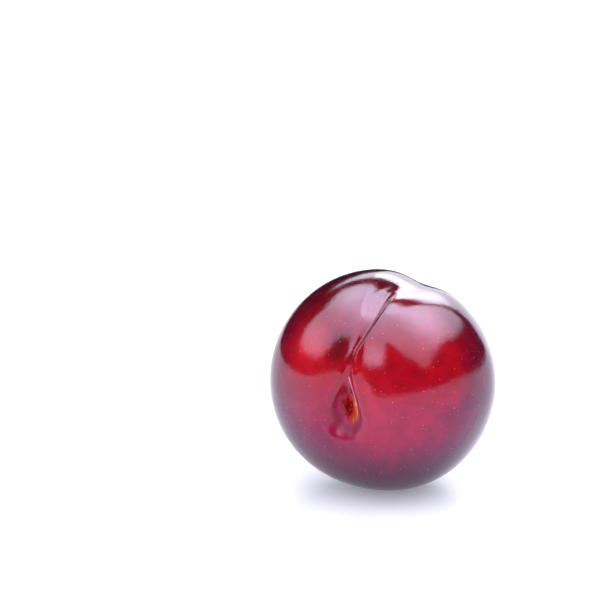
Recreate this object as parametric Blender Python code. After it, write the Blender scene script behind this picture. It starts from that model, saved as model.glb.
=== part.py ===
"""A ripe red plum, picked without its stem, lying on its side on a small flat spot.

The fruit grew as one piece, so it is one solid: a nearly round body with a stem cavity at one
end, a suture furrow that runs from the cavity over the top to the other end, and a shallow dip
at the apex. Metres, +Z up. The stem cavity faces -Y, turned a little towards -X.
"""

import math

import bmesh
import bpy
from mathutils import Matrix, Vector

# The body's three half sizes.
HALF_WIDTH = 0.0300  # from the axis to either cheek
HALF_HEIGHT = 0.0291  # from the axis to the suture, or to the belly opposite it
HALF_LENGTH = 0.0278  # from the middle to the shoulders round the stem cavity, or to the apex

# How far each outline is fuller than an ellipse, whose exponent is 2.
BELLY_FULLNESS = 2.10
SHOULDER_FULLNESS = 2.16

# The stem cavity: a teardrop funnel with a soft rim, whose point runs into the suture. The scar of
# the stem is at its bottom.
CAVITY_DEPTH = 0.0074
CAVITY_HALF_WIDTH = 0.0050
CAVITY_TOP_REACH = 0.0112  # from the scar to the middle of the rim, along the suture
CAVITY_FOOT_REACH = 0.0066  # from the scar to the middle of the rim, away from the suture
CAVITY_TAPER = 0.72  # share of its width lost at the point
CAVITY_FULLNESS = 2.2  # of its outline, against an ellipse's 2
CAVITY_SOFTNESS = 0.16  # how far the rim rolls over, as a share of the reach
CAVITY_DROP = 0.0013  # of the scar from the fruit's axis, away from the suture
CAVITY_SHIFT = 0.0007  # of the scar and the foot off the suture's line, to the left
SCAR_SHARE = 0.12  # how far the level floor round the scar reaches, as a share of the reach

# The suture: a crease in a furrow, which narrows past the shoulder and runs in a wide valley over
# the fruit's middle. Beside the cavity the right cheek stands a little prouder than the left.
# Each pair of angles is where a change along the suture starts and ends, from the stem end.
CREASE_DEPTH = 0.0002
CREASE_HALF_WIDTH = 0.0006
FURROW_DEPTH = 0.0018
FURROW_HALF_WIDTH = (0.0033, 0.0016)  # at the shoulder, and past it
VALLEY_DEPTH = 0.0016
VALLEY_HALF_WIDTH = 0.0062
CHEEK_RISE = 0.0007
CHEEK_STEP = 0.0020  # from the crease to where the right cheek has risen
CHEEK_WIDTH = 0.0120  # from the crease to where its extra height has gone again
SUTURE_START = (6, 24)
FURROW_OPENS = (26, 52)
SUTURE_SWAYS = (42, 92)
VALLEY_OPENS = (48, 88)
PAST_SHOULDER = (50, 64)
CHEEKS_LEVEL = (50, 95)
FURROW_CLOSES = (66, 85)
SUTURE_END = (120, 178)
SUTURE_LEAN = math.radians(3.5)  # the suture's tilt off the top, beside the cavity
SUTURE_SWAY = math.radians(14)  # how much more it tilts once it is past the shoulder

# The apex.
APEX_DIP = 0.0006
APEX_DIP_RADIUS = 0.0045

# How the fruit lies.
STEM_TURN = math.radians(20.9)  # of the stem end from -Y towards -X
STEM_DROP = math.radians(4.7)  # of the stem end below level
FLAT_DEPTH = 0.0006  # what the flat spot takes off the round belly

# The mesh: meridians stand closer at the suture, and rings closer at the cavity.
MERIDIANS = 72
RINGS = 54
SUTURE_CROWDING = 0.5
CAVITY_CROWDING = 0.45

NEARLY_ZERO = 1e-12  # keeps an outline's centre from dividing by zero


def clear_scene():
    for old in list(bpy.data.objects):
        bpy.data.objects.remove(old, do_unlink=True)


def smooth_step(low, high, value):
    share = min(1.0, max(0.0, (value - low) / (high - low)))
    return share * share * (3.0 - 2.0 * share)


def rounded(across, along, half_across, half_along, exponent):
    """Distance from the centre to a superellipse, in the direction (across, along)."""
    total = abs(across / half_across) ** exponent + abs(along / half_along) ** exponent
    return max(total, NEARLY_ZERO) ** (-1.0 / exponent)


def body_radius(polar, around):
    """The plain body, without cavity or suture. polar is 0 at the stem, around 0 at the suture."""
    belly = smooth_step(math.radians(50), math.radians(130), abs(around))
    exponent = 2.0 + (BELLY_FULLNESS - 2.0) * belly
    girth = rounded(math.sin(around), math.cos(around), HALF_WIDTH, HALF_HEIGHT, exponent)
    shoulder = 1.0 - smooth_step(math.radians(60), math.radians(100), polar)
    exponent = 2.0 + (SHOULDER_FULLNESS - 2.0) * shoulder
    return rounded(math.sin(polar), math.cos(polar), girth, HALF_LENGTH, exponent)


def cavity_depth(polar, around):
    """The funnel: steep walls that roll over at the rim, and a rounded bottom at the scar."""
    along = polar * HALF_LENGTH * math.cos(around) + CAVITY_DROP
    across = polar * HALF_LENGTH * math.sin(around)
    across -= CAVITY_SHIFT * (1.0 - smooth_step(0.0, CAVITY_TOP_REACH, along))
    narrowing = CAVITY_TAPER * min(1.0, max(0.0, along / CAVITY_TOP_REACH))
    reach = CAVITY_TOP_REACH if along > 0.0 else CAVITY_FOOT_REACH
    half_width = CAVITY_HALF_WIDTH * (1.0 - narrowing)
    outline = 1.0 / rounded(across, along, half_width, reach, CAVITY_FULLNESS)
    share = math.hypot(outline, SCAR_SHARE) - SCAR_SHARE
    inside = (1.0 - share) / CAVITY_SOFTNESS
    return CAVITY_DEPTH * CAVITY_SOFTNESS * math.log1p(math.exp(inside))


def mound(distance, half_width):
    """1 at the middle of a smooth mound, and nearly 0 at twice its half width."""
    return math.exp(-((distance / half_width) ** 2))


def change(span, polar):
    """How far a change along the suture has come, from 0 at its start to 1 at its end."""
    start, end = span
    return smooth_step(math.radians(start), math.radians(end), polar)


def furrow_depth(polar, sideways):
    """The narrow furrow, which is shallow at the cavity, deepest at the shoulder, and then ends."""
    wide, narrow = FURROW_HALF_WIDTH
    past_shoulder = change(PAST_SHOULDER, polar)
    depth = FURROW_DEPTH * (0.1 + 0.9 * change(FURROW_OPENS, polar))
    depth *= (1.0 - 0.6 * past_shoulder) * (1.0 - change(FURROW_CLOSES, polar))
    return depth * mound(sideways, wide + (narrow - wide) * past_shoulder)


def right_cheek_rise(polar, sideways):
    """How much prouder than the left cheek the right one stands beside the furrow."""
    if sideways >= 0.0:
        return 0.0
    rise = CHEEK_RISE * (1.0 - change(CHEEKS_LEVEL, polar))
    return rise * mound(sideways, CHEEK_WIDTH) * (1.0 - mound(sideways, CHEEK_STEP))


def suture_depth(polar, sideways):
    """How deep the suture lies at a distance to its left, less the right cheek's rise."""
    valley = VALLEY_DEPTH * change(VALLEY_OPENS, polar) * mound(sideways, VALLEY_HALF_WIDTH)
    crease = CREASE_DEPTH * (1.0 - 0.85 * change(PAST_SHOULDER, polar))
    crease *= math.exp(-abs(sideways) / CREASE_HALF_WIDTH)
    depth = furrow_depth(polar, sideways) + valley + crease - right_cheek_rise(polar, sideways)
    return change(SUTURE_START, polar) * (1.0 - change(SUTURE_END, polar)) * depth


def suture_tilt(polar):
    """The suture's own angle round the axis, towards +X from the top."""
    return SUTURE_LEAN + SUTURE_SWAY * change(SUTURE_SWAYS, polar)


def skin_point(ring_angle, meridian_angle):
    """Where a point of a unit sphere's net goes on the fruit, with the stem end at +Z."""
    polar = ring_angle - CAVITY_CROWDING * math.sin(ring_angle)
    around = meridian_angle - SUTURE_CROWDING * math.sin(meridian_angle)
    radius = body_radius(polar, around)
    sideways = radius * math.sin(polar) * around
    dip = APEX_DIP * math.exp(-((((math.pi - polar) * HALF_LENGTH) / APEX_DIP_RADIUS) ** 2))
    radius -= cavity_depth(polar, around) + suture_depth(polar, sideways) + dip
    turned = around - suture_tilt(polar)
    return radius * Vector(
        (
            math.sin(polar) * math.cos(turned),
            math.sin(polar) * math.sin(turned),
            math.cos(polar),
        )
    )


def lying_down():
    """Turns the stem axis from +Z to its place, with the suture's side uppermost."""
    stem = Vector(
        (
            -math.sin(STEM_TURN) * math.cos(STEM_DROP),
            -math.cos(STEM_TURN) * math.cos(STEM_DROP),
            -math.sin(STEM_DROP),
        )
    )
    top = (Vector((0.0, 0.0, 1.0)) - stem * stem.z).normalized()
    return Matrix((top, stem.cross(top), stem)).transposed()


def plum_mesh():
    net = bmesh.new()
    bmesh.ops.create_uvsphere(net, u_segments=MERIDIANS, v_segments=RINGS, radius=1.0)
    turn = lying_down()
    for vertex in net.verts:
        ring_angle = math.acos(max(-1.0, min(1.0, vertex.co.z)))
        meridian_angle = math.atan2(vertex.co.y, vertex.co.x)
        vertex.co = turn @ skin_point(ring_angle, meridian_angle)
    flatten_underside(net)
    centre_on_floor(net)
    bmesh.ops.recalc_face_normals(net, faces=net.faces)
    mesh = bpy.data.meshes.new("plum")
    net.to_mesh(mesh)
    net.free()
    return mesh


def flatten_underside(net):
    """Cuts the belly off level, and closes it with one flat face to rest on."""
    level = min(vertex.co.z for vertex in net.verts) + FLAT_DEPTH
    bmesh.ops.bisect_plane(
        net,
        geom=net.verts[:] + net.edges[:] + net.faces[:],
        dist=1e-7,
        plane_co=(0.0, 0.0, level),
        plane_no=(0.0, 0.0, -1.0),
        clear_outer=True,
    )
    rim = [edge for edge in net.edges if edge.is_boundary]
    bmesh.ops.holes_fill(net, edges=rim)
    for edge in rim:
        edge.smooth = False


def centre_on_floor(net):
    """Puts the middle of the fruit's box over the origin, and the flat spot at height 0."""
    xs, ys, zs = zip(*(vertex.co for vertex in net.verts))
    under_middle = Vector(((min(xs) + max(xs)) / 2.0, (min(ys) + max(ys)) / 2.0, min(zs)))
    bmesh.ops.translate(net, verts=net.verts, vec=-under_middle)


def skin_material():
    """Glossy dark crimson skin."""
    material = bpy.data.materials.new("plum_skin")
    material.use_nodes = True
    shader = material.node_tree.nodes["Principled BSDF"]
    shader.inputs["Base Color"].default_value = (0.30, 0.012, 0.028, 1.0)
    shader.inputs["Roughness"].default_value = 0.18
    shader.inputs["Metallic"].default_value = 0.0
    material.diffuse_color = (0.30, 0.012, 0.028, 1.0)
    return material


def make_plum():
    mesh = plum_mesh()
    mesh.materials.append(skin_material())
    mesh.shade_smooth()
    plum = bpy.data.objects.new("plum", mesh)
    bpy.context.scene.collection.objects.link(plum)


clear_scene()
make_plum()
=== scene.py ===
"""A ripe red plum on its side, on a back-lit white table in a plain studio."""
import math

import bmesh
import bpy
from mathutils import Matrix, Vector, noise


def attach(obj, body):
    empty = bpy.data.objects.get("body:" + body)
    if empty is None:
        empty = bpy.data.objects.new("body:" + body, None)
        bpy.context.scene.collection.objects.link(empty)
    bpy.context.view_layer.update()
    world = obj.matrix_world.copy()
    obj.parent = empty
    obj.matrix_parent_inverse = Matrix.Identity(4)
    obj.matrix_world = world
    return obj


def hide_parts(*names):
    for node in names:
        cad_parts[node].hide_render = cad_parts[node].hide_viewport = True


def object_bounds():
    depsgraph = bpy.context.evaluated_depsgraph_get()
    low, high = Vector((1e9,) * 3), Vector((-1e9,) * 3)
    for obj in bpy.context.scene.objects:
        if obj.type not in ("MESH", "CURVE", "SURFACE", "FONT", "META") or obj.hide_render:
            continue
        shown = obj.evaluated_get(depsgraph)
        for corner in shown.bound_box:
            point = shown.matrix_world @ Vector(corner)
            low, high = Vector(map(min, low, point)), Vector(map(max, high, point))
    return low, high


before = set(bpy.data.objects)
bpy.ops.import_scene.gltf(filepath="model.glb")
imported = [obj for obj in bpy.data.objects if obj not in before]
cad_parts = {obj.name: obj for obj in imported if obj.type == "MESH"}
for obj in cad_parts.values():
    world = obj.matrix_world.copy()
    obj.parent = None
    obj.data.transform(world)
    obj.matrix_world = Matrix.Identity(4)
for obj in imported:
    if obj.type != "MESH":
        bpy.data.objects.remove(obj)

cad_box = [list(corner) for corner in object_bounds()]


# The fruit: taut skin over soft flesh, grown in one piece round its stone. A merged copy of the
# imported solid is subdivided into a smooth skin. Its furrow, which is blunt in the solid's facets,
# is filled and pressed in again as a sharp fold, and the lip beside the cavity is raised.
CENTRE = Vector((0.0002, 0.0003, 0.0288))
HALF_LENGTH = 0.0278

# How the fruit lies, and where its suture runs. Degrees along the suture count from the stem, and
# each pair of them is where a change starts and where it ends.
STEM_TURN = math.radians(20.9)  # of the stem end from -Y towards -X
STEM_DROP = math.radians(4.7)  # of the stem end below level
SUTURE_START = (6.0, 24.0)
SUTURE_LEAN = 3.5  # degrees that it tilts off the top, beside the cavity
SUTURE_SWAY = 14.0  # how much more it tilts in the end
SUTURE_SWAYS = (42.0, 92.0)

# The solid's own furrow and crease, which are filled.
FURROW_DEPTH = 0.0018
FURROW_HALF_WIDTH = (0.0033, 0.0016)  # at the shoulder and past it
FURROW_OPENS = (26.0, 52.0)
PAST_SHOULDER = (50.0, 64.0)
FURROW_CLOSES = (66.0, 85.0)
CREASE_DEPTH = 0.00016
CREASE_HALF_WIDTH = 0.0008
SMOOTHED_LENGTH = (22.0, 90.0)
SMOOTHED_HALF_WIDTH = 0.003
SMOOTHING_ROUNDS = 40

# The fold: a gentle left wall and a steep right one, which is painted darker as shade in the deep
# fold.
FOLD_LINE = (  # degrees from the stem and off the top, and millimetres deep and half wide
    (0, 4.8, 0.0, 0.5), (18, 4.8, 0.0, 0.5), (24, 4.8, 0.4, 0.5), (33, 6.4, 0.6, 0.65),
    (41, 9.4, 1.1, 1.1), (50, 11.0, 1.5, 1.5), (57, 11.3, 1.6, 1.7), (66, 11.3, 1.2, 1.7),
    (75, 11.3, 0.4, 1.6), (84, 11.3, 0.0, 1.2), (180, 11.3, 0.0, 1.2),
)
LEFT_WALL_SPREAD = (1.1, 1.6)  # its half width against the fold's, at the cavity and further on
LEFT_WALL_SPREADS = (45.0, 60.0)
LEFT_WALL_POWER = 1.5
RIGHT_WALL_REACH = 1.3  # its width against the fold's half width
RIGHT_WALL_POWER = 1.25
DARK_WALL_PLACE = -0.9  # the middle of the painted dark band of shade, in half widths of the fold
DARK_WALL_SPREAD = 0.5  # the square of the band's half width, in the same measure
DARK_WALL_STARTS = (26.0, 36.0)
DARK_WALL_ENDS = (62.0, 76.0)

# The cavity's lip, its dull foot, and the skin to the left of the suture, which is painted darker as
# shade in the crease.
LIP_HEIGHT = 0.0002
LIP_HALF_WIDTH = 0.0002
LIP_END = 25.0  # degrees from the stem, past which there is none
LIP_LINE = (  # millimetres from the stem's axis, up the suture and to its left
    (9.2, -0.1), (6.6, -1.3), (4.3, -2.3), (1.9, -3.0),
)
SCAR_PLACE = (-0.0002, -0.0001)  # the scar's middle, in metres up the suture and to its left
CAVITY_REACH = (0.0078, 0.0058)  # of its colour from there, along the suture and across it
CAVITY_EDGE = (0.45, 1.05)  # shares of that reach, between which the colour fades
FOOT_EDGE = (0.6, 1.2)  # shares of that reach, between which the dull foot ends
FOOT_TOP = (-0.002, 0.001)  # metres up the suture, between which it ends too
SHADE_SIDE = 0.0036  # from the suture to the middle of the painted shade
SHADE_WIDTH = 0.0034
SHADE_STARTS = (22.0, 32.0)
SHADE_ENDS = (38.0, 50.0)

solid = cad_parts["plum"]
fruit = bpy.data.objects.new("plum_fruit", solid.data.copy())
bpy.context.scene.collection.objects.link(fruit)
bpy.ops.object.select_all(action="DESELECT")
fruit.select_set(True)
bpy.context.view_layer.objects.active = fruit
bpy.ops.object.mode_set(mode="EDIT")
bpy.ops.mesh.select_all(action="SELECT")
bpy.ops.mesh.remove_doubles(threshold=1e-6)
bpy.ops.mesh.tris_convert_to_quads(
    face_threshold=math.radians(60), shape_threshold=math.radians(60), topology_influence=1.0
)
bpy.ops.object.mode_set(mode="OBJECT")
refine = fruit.modifiers.new("refine", "SUBSURF")
refine.levels = refine.render_levels = 2
bpy.ops.object.modifier_apply(modifier="refine")
bpy.ops.object.shade_smooth()

stem_axis = Vector((
    -math.sin(STEM_TURN) * math.cos(STEM_DROP),
    -math.cos(STEM_TURN) * math.cos(STEM_DROP),
    -math.sin(STEM_DROP),
))
top_axis = (Vector((0.0, 0.0, 1.0)) - stem_axis * stem_axis.z).normalized()
left_axis = stem_axis.cross(top_axis)


def rising(low, high, value):
    """0 below low and 1 above high, with a smooth rise between them."""
    share = min(1.0, max(0.0, (value - low) / (high - low)))
    return share * share * (3.0 - 2.0 * share)


def grown_place(point):
    """A point's degrees from the stem, its angle round the stem's axis, and its flattened place.

    The angle counts from the suture to its left. The place is how many metres the point is from
    the stem's axis up the suture, and how many to the suture's left.
    """
    arm = point - CENTRE
    polar = arm.angle(stem_axis)
    degrees = math.degrees(polar)
    tilt = math.radians(SUTURE_LEAN + SUTURE_SWAY * rising(*SUTURE_SWAYS, degrees))
    around = math.atan2(arm.dot(left_axis), arm.dot(top_axis)) + tilt
    around = math.atan2(math.sin(around), math.cos(around))
    span = polar * HALF_LENGTH
    return degrees, around, span * math.cos(around), span * math.sin(around)


def ring_radius(point, degrees):
    """How far a point is from the stem's axis."""
    return (point - CENTRE).length * math.sin(math.radians(degrees))


def furrow_fill(degrees, sideways):
    """What fills the solid's furrow and crease, at a distance to the suture's left."""
    past_shoulder = rising(*PAST_SHOULDER, degrees)
    at_shoulder, narrow = FURROW_HALF_WIDTH
    half_width = at_shoulder + (narrow - at_shoulder) * past_shoulder
    depth = FURROW_DEPTH * (0.1 + 0.9 * rising(*FURROW_OPENS, degrees)) * (1.0 - 0.6 * past_shoulder)
    depth *= (1.0 - rising(*FURROW_CLOSES, degrees)) * rising(*SUTURE_START, degrees)
    depth *= math.exp(-((sideways / half_width) ** 2))
    crease = CREASE_DEPTH * (1.0 - 0.85 * past_shoulder) * rising(*SUTURE_START, degrees)
    return depth + crease * math.exp(-((sideways / CREASE_HALF_WIDTH) ** 2))


def fold_shape(degrees):
    """The fold's degrees off the top, and its depth and half width in metres."""
    for start, end in zip(FOLD_LINE, FOLD_LINE[1:]):
        if degrees <= end[0]:
            share = (degrees - start[0]) / (end[0] - start[0])
            tilt, depth, half_width = (
                low + (high - low) * share for low, high in zip(start[1:], end[1:])
            )
            return tilt, depth / 1000.0, half_width / 1000.0


def fold_depth(degrees, depth, half_width, from_fold):
    """How deep the skin lies at a distance to the left of the fold's bottom."""
    if from_fold > 0.0:
        near, far = LEFT_WALL_SPREAD
        half_width *= near + (far - near) * rising(*LEFT_WALL_SPREADS, degrees)
        return depth * math.exp(-((from_fold / half_width) ** LEFT_WALL_POWER))
    share = 1.0 + from_fold / (RIGHT_WALL_REACH * half_width)
    return depth * max(0.0, share) ** RIGHT_WALL_POWER


def gap_to_line(line, along, across):
    """The distance in metres from a place to a line of points that are in millimetres."""
    place = Vector((along, across)) * 1000.0
    nearest = 1e9
    for start, end in zip(line, line[1:]):
        start, end = Vector(start), Vector(end)
        share = (place - start).dot(end - start) / (end - start).length_squared
        foot = start.lerp(end, min(1.0, max(0.0, share)))
        nearest = min(nearest, (place - foot).length)
    return nearest / 1000.0


bpy.ops.object.mode_set(mode="EDIT")
bpy.ops.mesh.select_mode(type="VERT")
bpy.ops.mesh.select_all(action="DESELECT")
bpy.ops.object.mode_set(mode="OBJECT")
normals = [vertex.normal.copy() for vertex in fruit.data.vertices]
for vertex, normal in zip(fruit.data.vertices, normals):
    degrees, around = grown_place(vertex.co)[:2]
    sideways = ring_radius(vertex.co, degrees) * around
    vertex.co += normal * furrow_fill(degrees, sideways)
    nearest, furthest = SMOOTHED_LENGTH
    vertex.select = nearest < degrees < furthest and abs(sideways) < SMOOTHED_HALF_WIDTH
bpy.ops.object.mode_set(mode="EDIT")
bpy.ops.mesh.vertices_smooth(factor=0.5, repeat=SMOOTHING_ROUNDS)
bpy.ops.object.mode_set(mode="OBJECT")

marks = fruit.data.attributes
for name in ("cavity", "cavity_foot", "lip", "painted_wall_shade", "painted_suture_shade"):
    marks.new(name, "FLOAT", "POINT")
marks.new("meridian", "FLOAT_VECTOR", "POINT")
cavity, cavity_foot, lip = (marks[name].data for name in ("cavity", "cavity_foot", "lip"))
painted_wall_shade, painted_suture_shade = (marks[name].data for name in ("painted_wall_shade", "painted_suture_shade"))
meridian = marks["meridian"].data
normals = [vertex.normal.copy() for vertex in fruit.data.vertices]
for at, (vertex, normal) in enumerate(zip(fruit.data.vertices, normals)):
    degrees, around, along, across = grown_place(vertex.co)
    radius = ring_radius(vertex.co, degrees)
    sideways = radius * around
    meridian[at].vector = (math.cos(around), math.sin(around), math.radians(degrees))

    up, left = along - SCAR_PLACE[0], across - SCAR_PLACE[1]
    reach = math.hypot(up / CAVITY_REACH[0], left / CAVITY_REACH[1])
    cavity[at].value = 1.0 - rising(*CAVITY_EDGE, reach)
    cavity_foot[at].value = (1.0 - rising(*FOOT_EDGE, reach)) * (1.0 - rising(*FOOT_TOP, along))

    # Painted shade: a band left of the suture where the skin is painted darker.
    beside = math.exp(-(((sideways - SHADE_SIDE) / SHADE_WIDTH) ** 2))
    beside *= rising(*SHADE_STARTS, degrees) * (1.0 - rising(*SHADE_ENDS, degrees))
    painted_suture_shade[at].value = beside

    tilt, depth, half_width = fold_shape(degrees)
    tilt -= SUTURE_LEAN + SUTURE_SWAY * rising(*SUTURE_SWAYS, degrees)
    from_fold = sideways + radius * math.radians(tilt)
    # Painted shade: a dark band on the fold's right wall.
    on_wall = math.exp(-((from_fold / half_width - DARK_WALL_PLACE) ** 2 / DARK_WALL_SPREAD))
    on_wall *= rising(*DARK_WALL_STARTS, degrees) * (1.0 - rising(*DARK_WALL_ENDS, degrees))
    painted_wall_shade[at].value = on_wall

    on_lip = 0.0
    if degrees < LIP_END:
        gap = gap_to_line(LIP_LINE, along, across)
        on_lip = math.exp(-((gap / LIP_HALF_WIDTH) ** 2))
    lip[at].value = on_lip
    vertex.co += normal * (LIP_HEIGHT * on_lip - fold_depth(degrees, depth, half_width, from_fold))


def linear(hex_colour):
    """An sRGB hex colour as linear red, green, blue and alpha."""
    channels = [int(hex_colour[at:at + 2], 16) / 255 for at in (1, 3, 5)]
    return tuple(
        value / 12.92 if value <= 0.04045 else ((value + 0.055) / 1.055) ** 2.4
        for value in channels
    ) + (1.0,)


def node(tree, kind, values=None, links=None, stops=(), **settings):
    """Adds a node with its settings, its sockets' values and links, and any colour stops."""
    added = tree.nodes.new(kind)
    for name, value in settings.items():
        setattr(added, name, value)
    for socket, value in (values or {}).items():
        added.inputs[socket].default_value = value
    for socket, output in (links or {}).items():
        tree.links.new(output, added.inputs[socket])
    for at, (position, colour) in enumerate(stops):
        elements = added.color_ramp.elements
        element = elements[at] if at < 2 else elements.new(position)
        element.position = position
        element.color = linear(colour)
    return added


# Waxy skin of a ripe red plum, polished by handling. The red pigment lies in the skin itself, so
# it varies in soft mottles and in fine streaks from the stem to the apex; pale breathing pores dot
# it, and the thin wax gives mirror-like but slightly uneven reflections. Light and shade are also
# painted into its colour: darker away from the front, towards the bottom and the top, beside the
# suture, on the fold's right wall and round the cavity's rim, brighter in two spots, with a painted
# reflection inside the cavity and a painted highlight on the lip.
MOTTLE_SIZE = 0.008
STREAKS_ROUND = 34.0  # how fine they are round the stem's axis
STREAKS_ALONG = 7.0  # and from the stem to the apex
PAINTED_LIGHT_SIDE = (-0.12, -0.94, 0.31)  # the side the skin is painted brightest towards; away from it the skin is painted darker, as painted shade
PAINTED_LIGHT_SPOTS = (  # where the skin is painted brightest, as painted light, how far that reaches, and how strong it is
    ((-0.0183, -0.0187, 0.041), 0.011, 0.9),
    ((-0.0030, -0.0280, 0.031), 0.012, 0.4),
)
PORE_SPACING = 0.0013
PORE_RADIUS = 0.00018  # the smallest real ones wouldn't show, so none is drawn smaller than this
PORE_HEIGHT = 0.000015
RIPPLE_SIZE = 0.0022
RIPPLE_HEIGHT = 0.00003
GRAIN_SIZE = 0.0006  # coarser than the real grain, which is too fine to show
GRAIN_HEIGHT = 0.000009

skin = bpy.data.materials.new("waxy_plum_skin")
skin.use_nodes = True
tree = skin.node_tree
shader = tree.nodes["Principled BSDF"]
place = node(tree, "ShaderNodeTexCoord")
axes = node(tree, "ShaderNodeSeparateXYZ", links={0: place.outputs["Object"]})
mottle = node(
    tree, "ShaderNodeTexNoise",
    values={"Scale": 1.0 / MOTTLE_SIZE, "Detail": 4.0, "Roughness": 0.6, "Distortion": 0.4},
    links={"Vector": place.outputs["Object"]},
)
from_middle = node(
    tree, "ShaderNodeVectorMath", operation="SUBTRACT", values={1: CENTRE},
    links={0: place.outputs["Object"]},
)
outwards = node(
    tree, "ShaderNodeVectorMath", operation="NORMALIZE", links={0: from_middle.outputs[0]}
)
towards_painted_light = node(
    tree, "ShaderNodeVectorMath", operation="DOT_PRODUCT", values={1: PAINTED_LIGHT_SIDE},
    links={0: outwards.outputs[0]},
)
uneven = node(
    tree, "ShaderNodeMapRange",
    values={"From Min": 0.3, "From Max": 0.7, "To Min": -0.07, "To Max": 0.07},
    links={"Value": mottle.outputs["Fac"]},
)
# Painted shade: the skin is painted darker the further it turns from the front, with a random
# unevenness of its own on top.
painted_light_and_mottle = node(
    tree, "ShaderNodeMath", operation="ADD", links={0: towards_painted_light.outputs["Value"], 1: uneven.outputs[0]}
)
crimson = node(
    tree, "ShaderNodeValToRGB", links={"Fac": painted_light_and_mottle.outputs[0]},
    stops=(
        (0.0, "#3c0c2a"), (0.78, "#940d34"), (0.3, "#4b0d2f"), (0.42, "#5a0d34"),
        (0.52, "#680d36"), (0.63, "#7a0d36"),
    ),
)
scarlet = node(
    tree, "ShaderNodeValToRGB", links={"Fac": painted_light_and_mottle.outputs[0]},
    stops=(
        (0.0, "#3c0a20"), (0.75, "#980414"), (0.3, "#4b0a22"), (0.42, "#5c0821"),
        (0.52, "#6c061e"), (0.63, "#820519"),
    ),
)
upper_half = node(
    tree, "ShaderNodeMapRange", interpolation_type="SMOOTHSTEP",
    values={"From Min": 0.025, "From Max": 0.037}, links={"Value": axes.outputs["Z"]},
)
painted_light_and_colour = node(
    tree, "ShaderNodeMix", data_type="RGBA",
    links={0: upper_half.outputs[0], 6: crimson.outputs["Color"], 7: scarlet.outputs["Color"]},
)
# Painted light: two spots where the skin is painted a brighter red.
for spot_place, spot_radius, spot_share in PAINTED_LIGHT_SPOTS:
    gap = node(
        tree, "ShaderNodeVectorMath", operation="DISTANCE", values={1: spot_place},
        links={0: place.outputs["Object"]},
    )
    share = node(
        tree, "ShaderNodeMapRange", interpolation_type="SMOOTHSTEP",
        values={"From Min": spot_radius, "From Max": 0.0, "To Max": spot_share},
        links={"Value": gap.outputs["Value"]},
    )
    painted_light_and_colour = node(
        tree, "ShaderNodeMix", data_type="RGBA", values={7: linear("#b81622")},
        links={0: share.outputs[0], 6: painted_light_and_colour.outputs[2]},
    )
# Painted shade: the skin is painted darker towards the bottom, near the table.
painted_shade_below = node(
    tree, "ShaderNodeMapRange", interpolation_type="SMOOTHSTEP",
    values={"From Min": 0.009, "From Max": 0.021, "To Min": 0.62, "To Max": 1.0},
    links={"Value": axes.outputs["Z"]},
)
# Painted shade: the skin is painted darker towards the top.
painted_shade_on_top = node(
    tree, "ShaderNodeMapRange", interpolation_type="SMOOTHSTEP",
    values={"From Min": 0.04, "From Max": 0.056, "To Min": 1.0, "To Max": 0.5},
    links={"Value": axes.outputs["Z"]},
)
patches = node(
    tree, "ShaderNodeTexNoise",
    values={"Scale": 2.6 / MOTTLE_SIZE, "Detail": 3.0, "Roughness": 0.55},
    links={"Vector": place.outputs["Object"]},
)
patch_shade = node(
    tree, "ShaderNodeMapRange",
    values={"From Min": 0.3, "From Max": 0.7, "To Min": 0.84, "To Max": 1.16},
    links={"Value": patches.outputs["Fac"]},
)
growth = node(tree, "ShaderNodeAttribute", attribute_name="meridian")
stretched = node(
    tree, "ShaderNodeVectorMath", operation="MULTIPLY",
    values={1: (STREAKS_ROUND, STREAKS_ROUND, STREAKS_ALONG)}, links={0: growth.outputs["Vector"]},
)
streaks = node(
    tree, "ShaderNodeTexNoise",
    values={"Scale": 1.0, "Detail": 2.0}, links={"Vector": stretched.outputs[0]},
)
streak_shade = node(
    tree, "ShaderNodeMapRange",
    values={"From Min": 0.35, "From Max": 0.65, "To Min": 0.94, "To Max": 1.06},
    links={"Value": streaks.outputs["Fac"]},
)
# The mottles and streaks are the skin's own colour; the darkening towards the bottom and the top is
# painted shade.
shade = streak_shade
for other in (patch_shade, painted_shade_below, painted_shade_on_top):
    shade = node(
        tree, "ShaderNodeMath", operation="MULTIPLY", links={0: shade.outputs[0], 1: other.outputs[0]}
    )
mottled_and_painted_shade = node(
    tree, "ShaderNodeVectorMath", operation="SCALE",
    links={0: painted_light_and_colour.outputs[2], "Scale": shade.outputs[0]},
)
# Painted shade beside the suture: the skin there is painted dark maroon.
beside_suture = node(tree, "ShaderNodeAttribute", attribute_name="painted_suture_shade")
shade_share = node(
    tree, "ShaderNodeMath", operation="MULTIPLY", values={1: 0.8},
    links={0: beside_suture.outputs["Fac"]},
)
shaded = node(
    tree, "ShaderNodeMix", data_type="RGBA", values={7: linear("#4a0a16")},
    links={0: shade_share.outputs[0], 6: mottled_and_painted_shade.outputs[0]},
)
# The fold's right wall is painted dark crimson: painted shade in the deep fold.
on_right_wall = node(tree, "ShaderNodeAttribute", attribute_name="painted_wall_shade")
wall_share = node(
    tree, "ShaderNodeMath", operation="MULTIPLY", values={1: 0.85},
    links={0: on_right_wall.outputs["Fac"]},
)
shaded = node(
    tree, "ShaderNodeMix", data_type="RGBA", values={7: linear("#520612")},
    links={0: wall_share.outputs[0], 6: shaded.outputs[2]},
)
# Painted dark reflection: a dark ring painted round the cavity's rim, where the rim mirrors the
# darker room.
in_cavity = node(tree, "ShaderNodeAttribute", attribute_name="cavity")
painted_dark_rim = node(
    tree, "ShaderNodeValToRGB", links={"Fac": in_cavity.outputs["Fac"]},
    stops=((0.0, "#000000"), (1.0, "#000000"), (0.45, "#b0b0b0")),
)
with_painted_rim = node(
    tree, "ShaderNodeMix", data_type="RGBA", values={7: linear("#5a0414")},
    links={0: painted_dark_rim.outputs[0], 6: shaded.outputs[2]},
)
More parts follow.
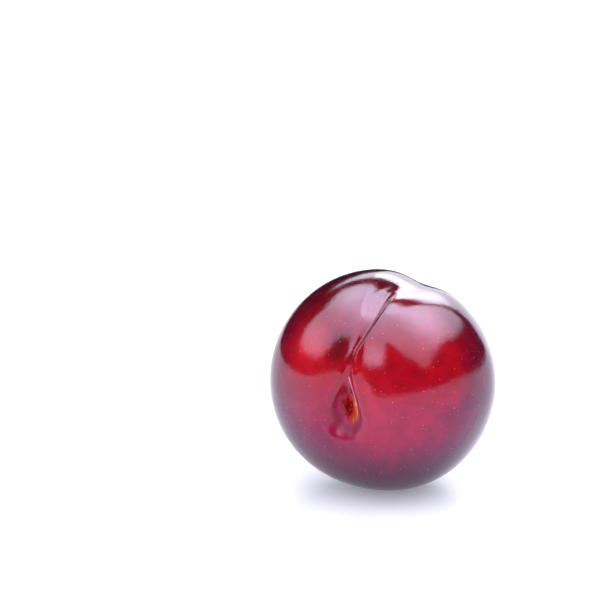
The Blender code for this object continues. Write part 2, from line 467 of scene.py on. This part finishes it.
# Inside the cavity the skin is painted pale lavender: partly wax bloom, partly painted reflection of
# the bright ceiling.
bloom_and_painted_reflection = node(
    tree, "ShaderNodeMapRange", interpolation_type="SMOOTHSTEP",
    values={"From Min": 0.5, "From Max": 1.0, "To Max": 0.8},
    links={"Value": in_cavity.outputs["Fac"]},
)
bloom_and_painted_light = node(
    tree, "ShaderNodeMix", data_type="RGBA", values={7: linear("#a83c68")},
    links={0: bloom_and_painted_reflection.outputs[0], 6: with_painted_rim.outputs[2]},
)
# Painted highlight: a pale line painted along the cavity's lip, over its raised ridge.
on_lip = node(tree, "ShaderNodeAttribute", attribute_name="lip")
painted_lip_highlight = node(
    tree, "ShaderNodeMath", operation="MULTIPLY", values={1: 0.75}, links={0: on_lip.outputs["Fac"]}
)
bloom_and_painted_light = node(
    tree, "ShaderNodeMix", data_type="RGBA", values={7: linear("#e6b4d8")},
    links={0: painted_lip_highlight.outputs[0], 6: bloom_and_painted_light.outputs[2]},
)
pores = node(
    tree, "ShaderNodeTexVoronoi",
    values={"Scale": 1.0 / PORE_SPACING}, links={"Vector": place.outputs["Object"]},
)
pore = node(
    tree, "ShaderNodeMapRange", interpolation_type="SMOOTHSTEP",
    values={"From Min": PORE_RADIUS / PORE_SPACING, "From Max": 0.3 * PORE_RADIUS / PORE_SPACING},
    links={"Value": pores.outputs["Distance"]},
)
pore_kinds = node(tree, "ShaderNodeSeparateColor", links={0: pores.outputs["Color"]})
pore_paleness = node(
    tree, "ShaderNodeMapRange",
    values={"From Min": 0.1, "From Max": 1.0, "To Max": 0.55},
    links={"Value": pore_kinds.outputs[0]},
)
pore_share = node(
    tree, "ShaderNodeMath", operation="MULTIPLY",
    links={0: pore.outputs[0], 1: pore_paleness.outputs[0]},
)
dotted = node(
    tree, "ShaderNodeMix", data_type="RGBA", values={7: linear("#f0a0a0")},
    links={0: pore_share.outputs[0], 6: bloom_and_painted_light.outputs[2]},
)
tree.links.new(dotted.outputs[2], shader.inputs["Base Color"])
ripples = node(
    tree, "ShaderNodeTexNoise",
    values={"Scale": 1.0 / RIPPLE_SIZE, "Detail": 2.0},
    links={"Vector": place.outputs["Object"]},
)
grain = node(
    tree, "ShaderNodeTexNoise",
    values={"Scale": 1.0 / GRAIN_SIZE, "Detail": 1.0},
    links={"Vector": place.outputs["Object"]},
)
polish = node(
    tree, "ShaderNodeMapRange",
    values={"From Min": 0.3, "From Max": 0.7, "To Min": 0.1, "To Max": 0.16},
    links={"Value": mottle.outputs["Fac"]},
)
in_foot = node(tree, "ShaderNodeAttribute", attribute_name="cavity_foot")
dull_cavity = node(
    tree, "ShaderNodeMath", operation="MULTIPLY_ADD", values={1: 0.45},
    links={0: in_foot.outputs["Fac"], 2: polish.outputs[0]},
)
tree.links.new(dull_cavity.outputs[0], shader.inputs["Roughness"])
relief = node(
    tree, "ShaderNodeMath", operation="MULTIPLY", values={1: RIPPLE_HEIGHT},
    links={0: ripples.outputs["Fac"]},
)
relief = node(
    tree, "ShaderNodeMath", operation="MULTIPLY_ADD", values={1: GRAIN_HEIGHT},
    links={0: grain.outputs["Fac"], 2: relief.outputs[0]},
)
relief = node(
    tree, "ShaderNodeMath", operation="MULTIPLY_ADD", values={1: PORE_HEIGHT},
    links={0: pore_share.outputs[0], 2: relief.outputs[0]},
)
bump = node(
    tree, "ShaderNodeBump", values={"Distance": 1.0}, links={"Height": relief.outputs[0]}
)
tree.links.new(bump.outputs[0], shader.inputs["Normal"])
shader.inputs["IOR"].default_value = 1.55
shader.inputs["Specular Tint"].default_value = linear("#dedeff")
fruit.data.materials.clear()
fruit.data.materials.append(skin)
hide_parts("plum")
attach(fruit, "root")


# The stem scar: the dried wood and flesh fibres that were left at the bottom of the cavity when
# the stalk was pulled out. It starts as a copy of the skin there, which is roughened into ridges.
SCAR_HALF_LENGTH = 0.0050
SCAR_HALF_WIDTH = 0.0034
SCAR_SWELL = 0.00035
SCAR_THICKNESS = 0.0006
RIDGE_HEIGHT = 0.00018
FULL_HEIGHT = 0.00045  # what counts as 1 for the fibres' pattern
SUNK_RIM = 0.0001
TORN_RELIEF = 0.0002


def scar_share(point):
    """A point's place in the scar's oval: along it and across it, each -1 to 1 inside."""
    along, across = grown_place(point)[2:]
    return (along - SCAR_PLACE[0]) / SCAR_HALF_LENGTH, (across - SCAR_PLACE[1]) / SCAR_HALF_WIDTH


bpy.ops.object.select_all(action="DESELECT")
fruit.select_set(True)
bpy.context.view_layer.objects.active = fruit
bpy.ops.object.duplicate()
scar = bpy.context.object
scar.name = "stem_scar"
sheet = bmesh.new()
sheet.from_mesh(scar.data)
outside = [face for face in sheet.faces if math.hypot(*scar_share(face.calc_center_median())) > 1.0]
bmesh.ops.delete(sheet, geom=outside, context="FACES")
sheet.to_mesh(scar.data)
sheet.free()
bpy.ops.object.mode_set(mode="EDIT")
bpy.ops.mesh.select_all(action="SELECT")
bpy.ops.mesh.subdivide(number_cuts=1, smoothness=1.0)
bpy.ops.object.mode_set(mode="OBJECT")
fibre = scar.data.attributes.new("fibre", "FLOAT_VECTOR", "POINT")
normals = [vertex.normal.copy() for vertex in scar.data.vertices]
for vertex, normal in zip(scar.data.vertices, normals):
    along, across = scar_share(vertex.co)
    rim = 1.0 - rising(0.75, 1.0, math.hypot(along, across))
    lift = SCAR_SWELL * (0.5 + noise.noise(Vector((along * 1.5, across * 5.0, 2.0))))
    lift += RIDGE_HEIGHT * noise.noise(Vector((along * 3.0, across * 14.0, 5.0)))
    vertex.co += normal * (rim * lift - (1.0 - rim) * SUNK_RIM)
    fibre.data[vertex.index].vector = (along, across, lift / FULL_HEIGHT)
thicken = scar.modifiers.new("thicken", "SOLIDIFY")
thicken.thickness = SCAR_THICKNESS
thicken.offset = -1.0
bpy.ops.object.modifier_apply(modifier="thicken")

# Torn, half-dried plant tissue: rough wood fibres, orange-brown where they are dry and deep red
# where they are still wet with juice, so their ridges glisten.
tissue = bpy.data.materials.new("torn_stem_tissue")
tissue.use_nodes = True
tree = tissue.node_tree
shader = tree.nodes["Principled BSDF"]
strand_place = node(tree, "ShaderNodeAttribute", attribute_name="fibre")
parts = node(tree, "ShaderNodeSeparateXYZ", links={0: strand_place.outputs["Vector"]})
drawn_out = node(
    tree, "ShaderNodeVectorMath", operation="MULTIPLY", values={1: (1.6, 4.0, 1.0)},
    links={0: strand_place.outputs["Vector"]},
)
fibres = node(
    tree, "ShaderNodeTexNoise", values={"Scale": 1.0, "Detail": 5.0, "Roughness": 0.65},
    links={"Vector": drawn_out.outputs[0]},
)
dryness = node(
    tree, "ShaderNodeMapRange",
    values={"From Min": 0.45, "From Max": -0.5, "To Min": -0.3, "To Max": 0.2},
    links={"Value": parts.outputs["Y"]},
)
dryness = node(
    tree, "ShaderNodeMath", operation="ADD", links={0: dryness.outputs[0], 1: fibres.outputs["Fac"]}
)
tone = node(
    tree, "ShaderNodeValToRGB", links={"Fac": dryness.outputs[0]},
    stops=(
        (0.15, "#8a0410"), (0.95, "#f2a070"), (0.38, "#b8080e"), (0.52, "#cf2412"),
        (0.66, "#a8480c"), (0.8, "#e07030"),
    ),
)
tree.links.new(tone.outputs["Color"], shader.inputs["Base Color"])
torn = node(
    tree, "ShaderNodeMath", operation="MULTIPLY", values={1: TORN_RELIEF},
    links={0: fibres.outputs["Fac"]},
)
bump = node(
    tree, "ShaderNodeBump", values={"Distance": 1.0}, links={"Height": torn.outputs[0]}
)
tree.links.new(bump.outputs[0], shader.inputs["Normal"])
shader.inputs["Roughness"].default_value = 0.38
shader.inputs["IOR"].default_value = 1.45
scar.data.materials.clear()
scar.data.materials.append(tissue)
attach(scar, "root")


# The table: a broad sheet of opal acrylic, lit from below so that only a pale shadow shows on it. A
# wedge is cut out of it in front, where the skin mirrors the darker room instead of the lit sheet.
TABLE_HALF = 4.0
WEDGE_POINT = (-0.028, -0.108)
WEDGE_LEFT = math.radians(-17)
WEDGE_RIGHT = math.radians(33)
BACK_LIGHT = 0.26

bpy.ops.object.select_all(action="DESELECT")
bpy.ops.mesh.primitive_plane_add(size=2 * TABLE_HALF, location=(0.0, 0.0, 0.0))
table = bpy.context.object
table.name = "table"
outline = bmesh.new()
corners = [
    (-TABLE_HALF, TABLE_HALF),
    (-TABLE_HALF, -TABLE_HALF),
    (WEDGE_POINT[0] + TABLE_HALF * math.tan(WEDGE_LEFT), -TABLE_HALF),
    WEDGE_POINT,
    (WEDGE_POINT[0] + TABLE_HALF * math.tan(WEDGE_RIGHT), -TABLE_HALF),
    (TABLE_HALF, -TABLE_HALF),
    (TABLE_HALF, TABLE_HALF),
]
outline.faces.new([outline.verts.new((x, y, 0.0)) for x, y in corners])
outline.to_mesh(table.data)
outline.free()
board = bpy.data.materials.new("back_lit_opal_acrylic")
board.use_nodes = True
board_shader = board.node_tree.nodes["Principled BSDF"]
board_shader.inputs["Base Color"].default_value = linear("#ececf0")
board_shader.inputs["Roughness"].default_value = 0.4
board_shader.inputs["Emission Color"].default_value = linear("#f2f4ff")
board_shader.inputs["Emission Strength"].default_value = BACK_LIGHT
table.data.materials.append(board)


# The studio: one wide ceiling of soft boxes, brighter towards the zenith and to the right, with
# four stronger lamps in it, a white wall behind with a lamp of its own, and a pale glow from below
# that reaches over the table's edge at the front left and at the right. Turn is 0 in front and
# grows to the right, rise is 0 at the table, and an outline lists both in degrees.
CEILING_FOOT = [
    (-180, 54), (-165, 46), (-155, 40), (-138, 43), (-122, 41), (-117, 32), (-110, 23),
    (-100, 16), (-74, 14), (-68, 20), (-62, 42), (-44, 44), (-34, 34), (-30, 20), (-12, 18),
    (-2, 20), (4, 46), (12, 42), (22, 33), (38, 20), (44, 22), (54, 30), (74, 36), (90, 36),
    (110, 29), (134, 22), (140, 40), (143, 66), (150, 66), (165, 61), (180, 54),
]
WALL_TOP = [
    (-180, 39), (-165, 31), (-155, 28), (-146, 28), (-140, 24), (139, 0), (142, 0), (144, 46),
    (150, 47), (165, 43), (180, 39),
]
WALL_FOOT = [(-180, 20), (-168, 24), (-155, 28), (-146, 31), (0, 31), (140, 0), (168, 0), (180, 20)]
GLOW_TOP = [
    (-180, -18), (-130, -25), (-118, -5), (-90, -2), (-65, 2), (-52, 9), (-30, 10), (-24, 8),
    (-18, -12), (0, -9), (30, -1), (60, 4), (90, 5), (130, 0), (180, 0),
]
LAMPS = [  # turn, rise, half its width and half its height in degrees, and strength
    (-88, 24, 46, 24, 2.2),
    (-12, 27, 30, 22, 3.4),
    (92, 56, 60, 30, 3.9),
    (-150, 64, 60, 30, 3.0),
]
WALL_LAMP = (162, 35, 44, 15, 5.5)
CEILING_SOFTNESS = 6  # the width of its edge in degrees
WALL_TOP_SOFTNESS = 3
WALL_FOOT_SOFTNESS = 4
GLOW_SOFTNESS = 4
CEILING = 7.5
CEILING_RISES = (8, 88)  # between which it brightens
RIGHT_GAIN = 1.6
RIGHT_GAIN_TURNS = (20, 110)
WALL_LIGHT = (2.3, 4.4)  # at its foot and at its top
WALL_RISES = (12, 40)
GLOW = 1.4
ROOM = 0.01
TINT = "#f4f4ff"
GLOSS_GAIN = 1.1  # makes up for what the tint takes
DIFFUSE_GAIN = 0.145
FILL = 1.1  # light from all round, as in a tent of white cloth

surround = bpy.data.worlds.new("studio_surround")
bpy.context.scene.world = surround
surround.use_nodes = True
sky = surround.node_tree
towards = node(sky, "ShaderNodeTexCoord")
axes = node(sky, "ShaderNodeSeparateXYZ", links={0: towards.outputs["Generated"]})
front = node(
    sky, "ShaderNodeMath", operation="MULTIPLY", values={1: -1.0}, links={0: axes.outputs["Y"]}
)
turn = node(
    sky, "ShaderNodeMath", operation="ARCTAN2", links={0: axes.outputs["X"], 1: front.outputs[0]}
)
turn_share = node(
    sky, "ShaderNodeMapRange",
    values={"From Min": -math.pi, "From Max": math.pi}, links={"Value": turn.outputs[0]},
)
rise = node(sky, "ShaderNodeMath", operation="ARCSINE", links={0: axes.outputs["Z"]})
rise_share = node(
    sky, "ShaderNodeMapRange",
    values={"From Min": -math.pi / 2, "From Max": math.pi / 2}, links={"Value": rise.outputs[0]},
)


def above(outline, softness):
    """1 above an outline and 0 below it, with a soft edge that is that many degrees wide."""
    curve = node(sky, "ShaderNodeFloatCurve", links={"Value": turn_share.outputs[0]})
    points = curve.mapping.curves[0].points
    for at, (turn_degrees, rise_degrees) in enumerate(outline):
        place = (turn_degrees / 360 + 0.5, rise_degrees / 180 + 0.5)
        if at == 0:
            points[0].location = place
        elif at == len(outline) - 1:
            points[-1].location = place
        else:
            points.new(*place)
    for point in points:
        point.handle_type = "VECTOR"
    curve.mapping.update()
    links = {0: rise_share.outputs[0], 1: curve.outputs[0]}
    height = node(sky, "ShaderNodeMath", operation="SUBTRACT", links=links)
    return node(
        sky, "ShaderNodeMapRange", interpolation_type="SMOOTHSTEP",
        values={"From Min": -softness / 360, "From Max": softness / 360},
        links={"Value": height.outputs[0]},
    )


brighter_upwards = node(
    sky, "ShaderNodeMapRange",
    values={
        "From Min": math.radians(CEILING_RISES[0]), "From Max": math.radians(CEILING_RISES[1]),
        "To Max": CEILING,
    },
    links={"Value": rise.outputs[0]},
)
brighter_rightwards = node(
    sky, "ShaderNodeMapRange",
    values={
        "From Min": math.radians(RIGHT_GAIN_TURNS[0]),
        "From Max": math.radians(RIGHT_GAIN_TURNS[1]), "To Min": 1.0, "To Max": RIGHT_GAIN,
    },
    links={"Value": turn.outputs[0]},
)
lamps = node(
    sky, "ShaderNodeMath", operation="MULTIPLY",
    links={0: brighter_upwards.outputs[0], 1: brighter_rightwards.outputs[0]},
)
bearing = node(sky, "ShaderNodeCombineXYZ", links={0: turn.outputs[0], 1: rise.outputs[0]})
lamp_lights = []
for lamp_turn, lamp_rise, half_width, half_height, strength in LAMPS + [WALL_LAMP]:
    middle = (math.radians(lamp_turn), math.radians(lamp_rise), 0.0)
    offset = node(
        sky, "ShaderNodeVectorMath", operation="SUBTRACT", values={1: middle},
        links={0: bearing.outputs[0]},
    )
    size = (math.radians(half_width), math.radians(half_height), 1.0)
    offset = node(
        sky, "ShaderNodeVectorMath", operation="DIVIDE", values={1: size},
        links={0: offset.outputs[0]},
    )
    reach = node(
        sky, "ShaderNodeVectorMath", operation="LENGTH", links={0: offset.outputs[0]}
    )
    lamp = node(
        sky, "ShaderNodeMapRange", interpolation_type="SMOOTHSTEP",
        values={"From Min": 1.0, "From Max": 0.0, "To Max": strength},
        links={"Value": reach.outputs["Value"]},
    )
    lamp_lights.append(lamp.outputs[0])
*ceiling_lights, wall_lamp_light = lamp_lights
for lamp_light in ceiling_lights:
    lamps = node(
        sky, "ShaderNodeMath", operation="ADD", links={0: lamps.outputs[0], 1: lamp_light}
    )
over_foot = above(CEILING_FOOT, CEILING_SOFTNESS)
ceiling = node(
    sky, "ShaderNodeMath", operation="MULTIPLY", links={0: over_foot.outputs[0], 1: lamps.outputs[0]}
)
over_wall = above(WALL_TOP, WALL_TOP_SOFTNESS)
under_top = node(
    sky, "ShaderNodeMath", operation="SUBTRACT", values={0: 1.0},
    links={1: over_wall.outputs[0]},
)
over_wall_foot = above(WALL_FOOT, WALL_FOOT_SOFTNESS)
wall = node(
    sky, "ShaderNodeMath", operation="MULTIPLY",
    links={0: over_wall_foot.outputs[0], 1: under_top.outputs[0]},
)
over_glow = above(GLOW_TOP, GLOW_SOFTNESS)
under_glow = node(
    sky, "ShaderNodeMath", operation="SUBTRACT", values={0: 1.0},
    links={1: over_glow.outputs[0]},
)
wall_light = node(
    sky, "ShaderNodeMapRange",
    values={
        "From Min": math.radians(WALL_RISES[0]), "From Max": math.radians(WALL_RISES[1]),
        "To Min": WALL_LIGHT[0], "To Max": WALL_LIGHT[1],
    },
    links={"Value": rise.outputs[0]},
)
wall_light = node(
    sky, "ShaderNodeMath", operation="ADD", links={0: wall_light.outputs[0], 1: wall_lamp_light}
)
light = node(
    sky, "ShaderNodeMath", operation="MULTIPLY_ADD",
    links={0: wall.outputs[0], 1: wall_light.outputs[0], 2: ceiling.outputs[0]},
)
light = node(
    sky, "ShaderNodeMath", operation="MULTIPLY_ADD", values={1: GLOW},
    links={0: under_glow.outputs[0], 2: light.outputs[0]},
)
light = node(sky, "ShaderNodeMath", operation="ADD", values={1: ROOM}, links={0: light.outputs[0]})
ray = node(sky, "ShaderNodeLightPath")
glossy = node(
    sky, "ShaderNodeMath", operation="MULTIPLY", values={1: GLOSS_GAIN},
    links={0: light.outputs[0]},
)
diffuse = node(
    sky, "ShaderNodeMath", operation="MULTIPLY_ADD", values={1: DIFFUSE_GAIN, 2: FILL},
    links={0: light.outputs[0]},
)
light = node(
    sky, "ShaderNodeMix", data_type="FLOAT",
    links={0: ray.outputs["Is Glossy Ray"], 2: diffuse.outputs[0], 3: glossy.outputs[0]},
)
tinted = node(
    sky, "ShaderNodeVectorMath", operation="SCALE", values={0: linear(TINT)[:3]},
    links={"Scale": light.outputs[0]},
)
seen = node(
    sky, "ShaderNodeMix", data_type="RGBA", values={7: (1.0, 1.0, 1.0, 1.0)},
    links={0: ray.outputs["Is Camera Ray"], 6: tinted.outputs[0]},
)
sky.links.new(seen.outputs[2], sky.nodes["Background"].inputs["Color"])
bpy.context.scene.view_settings.view_transform = "Standard"


# The camera: a long lens, a little above the table, with the fruit right of and below centre.
SENSOR_MM = 36.0
LENS_MM = 120.0
DISTANCE = 0.529
ELEVATION = math.radians(15)
FRAME_WIDTH = DISTANCE * SENSOR_MM / LENS_MM
FRUIT_RIGHT = 0.139 * FRAME_WIDTH
FRUIT_DOWN = 0.129 * FRAME_WIDTH

middle = (Vector(cad_box[0]) + Vector(cad_box[1])) / 2
backwards = Vector((0.0, -math.cos(ELEVATION), math.sin(ELEVATION)))
upwards = Vector((0.0, math.sin(ELEVATION), math.cos(ELEVATION)))
eye = middle + backwards * DISTANCE
aim = middle + upwards * FRUIT_DOWN - Vector((FRUIT_RIGHT, 0.0, 0.0))
lens = bpy.data.cameras.new("long_lens")
lens.lens = LENS_MM
lens.sensor_width = SENSOR_MM
camera = bpy.data.objects.new("camera", lens)
bpy.context.scene.collection.objects.link(camera)
camera.location = eye
camera.rotation_euler = (aim - eye).to_track_quat("-Z", "Y").to_euler()
bpy.context.scene.camera = camera
